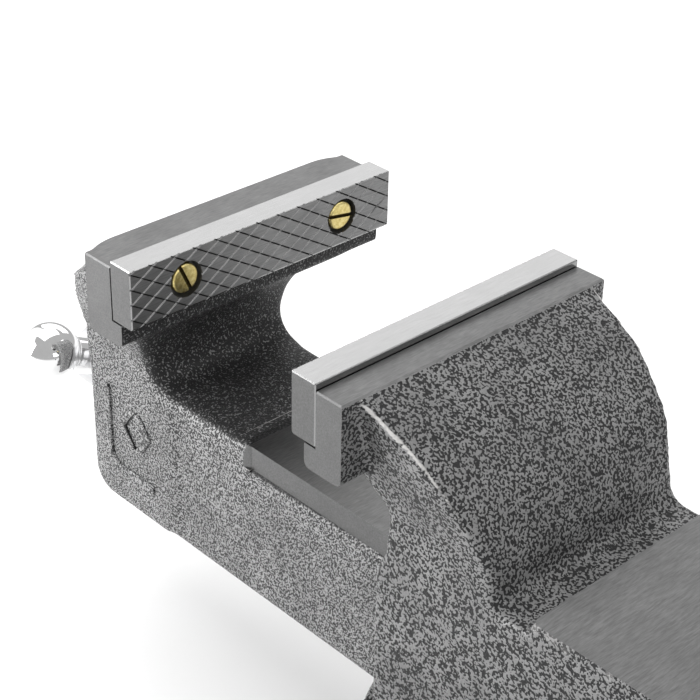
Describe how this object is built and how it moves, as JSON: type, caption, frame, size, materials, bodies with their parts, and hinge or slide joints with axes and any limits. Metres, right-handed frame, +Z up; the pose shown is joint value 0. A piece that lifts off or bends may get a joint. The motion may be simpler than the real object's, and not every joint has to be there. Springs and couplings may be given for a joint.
{
  "type": "bench vise",
  "caption": "Swivel-base bench vise: serrated jaw plates on cast jaws, a sliding jaw driven by a lead screw with a sliding ball-ended handle, lever clamps and a flat anvil.",
  "frame": {"origin": "on the swivel axis, in the plane of the base's underside", "axes": "+Z up; +X along the slide, from the handle end towards the anvil; +Y along the jaws"},
  "size_m": [0.288, 0.2172, 0.158],
  "materials": {
    "cast_paint": "speckled silver and dark grey hammertone paint on cast iron, bare machined flats",
    "plate_steel": "hardened steel, ground top, dark serrated face",
    "screw_brass": "turned brass",
    "bright_steel": "turned steel, lightly oiled",
    "spring_steel": "dark oiled spring steel",
    "zinc_steel": "zinc plated steel",
    "nut_iron": "bare cast iron",
    "handle_chrome": "polished chrome",
    "knob_black": "moulded black plastic"
  },
  "bodies": {
    "base": {"swivel_base": "cast_paint"},
    "vise_body": {"rear_body": "cast_paint", "rear_jaw_plate": "plate_steel", "rear_jaw_screw_right": "screw_brass", "rear_jaw_screw_left": "screw_brass", "lead_nut": "nut_iron", "nut_bolt": "zinc_steel", "nut_bolt_washer": "zinc_steel", "clamp_bolt_right": "zinc_steel", "clamp_bolt_left": "zinc_steel", "clamp_washer_right": "zinc_steel", "clamp_washer_left": "zinc_steel"},
    "moving_jaw": {"front_body": "cast_paint", "front_jaw_plate": "plate_steel", "front_jaw_screw_right": "screw_brass", "front_jaw_screw_left": "screw_brass"},
    "spindle": {"lead_screw": "bright_steel", "thrust_washer": "bright_steel", "spring_washer": "bright_steel", "spindle_spring": "spring_steel", "retaining_collar": "bright_steel", "collar_pin": "bright_steel"},
    "handle": {"handle_bar": "handle_chrome", "handle_ball_right": "handle_chrome", "handle_ball_left": "handle_chrome"},
    "lever_right": {"clamp_nut_right": "bright_steel", "clamp_lever_right": "bright_steel", "clamp_knob_right": "knob_black"},
    "lever_left": {"clamp_nut_left": "bright_steel", "clamp_lever_left": "bright_steel", "clamp_knob_left": "knob_black"}
  },
  "joints": [
    {"name": "swivel", "type": "hinge", "parent": "base", "child": "vise_body", "pos_m": [0, 0, 0.03], "axis": [0, 0, 1], "continuous": true},
    {"name": "jaw_slide", "type": "slide", "parent": "vise_body", "child": "moving_jaw", "axis": [1, 0, 0], "range_m": [-0.033, 0.068]},
    {"name": "screw_turn", "type": "hinge", "parent": "moving_jaw", "child": "spindle", "pos_m": [-0.1905, 0, 0.0723], "axis": [1, 0, 0], "range_deg": [-2370, 4890]},
    {"name": "handle_slide", "type": "slide", "parent": "spindle", "child": "handle", "axis": [0, 0.8854, -0.4648], "range_m": [-0.098, 0.01]},
    {"name": "lever_right_turn", "type": "hinge", "parent": "vise_body", "child": "lever_right", "pos_m": [0, -0.048, 0.0424], "axis": [0, 0, 1], "range_deg": [-100, 60]},
    {"name": "lever_left_turn", "type": "hinge", "parent": "vise_body", "child": "lever_left", "pos_m": [0, 0.048, 0.0424], "axis": [0, 0, 1], "range_deg": [-60, 100]}
  ],
  "couplings": [
    {"joint": "jaw_slide", "follows": "screw_turn", "m_per_rad": 0.00079577}
  ]
}
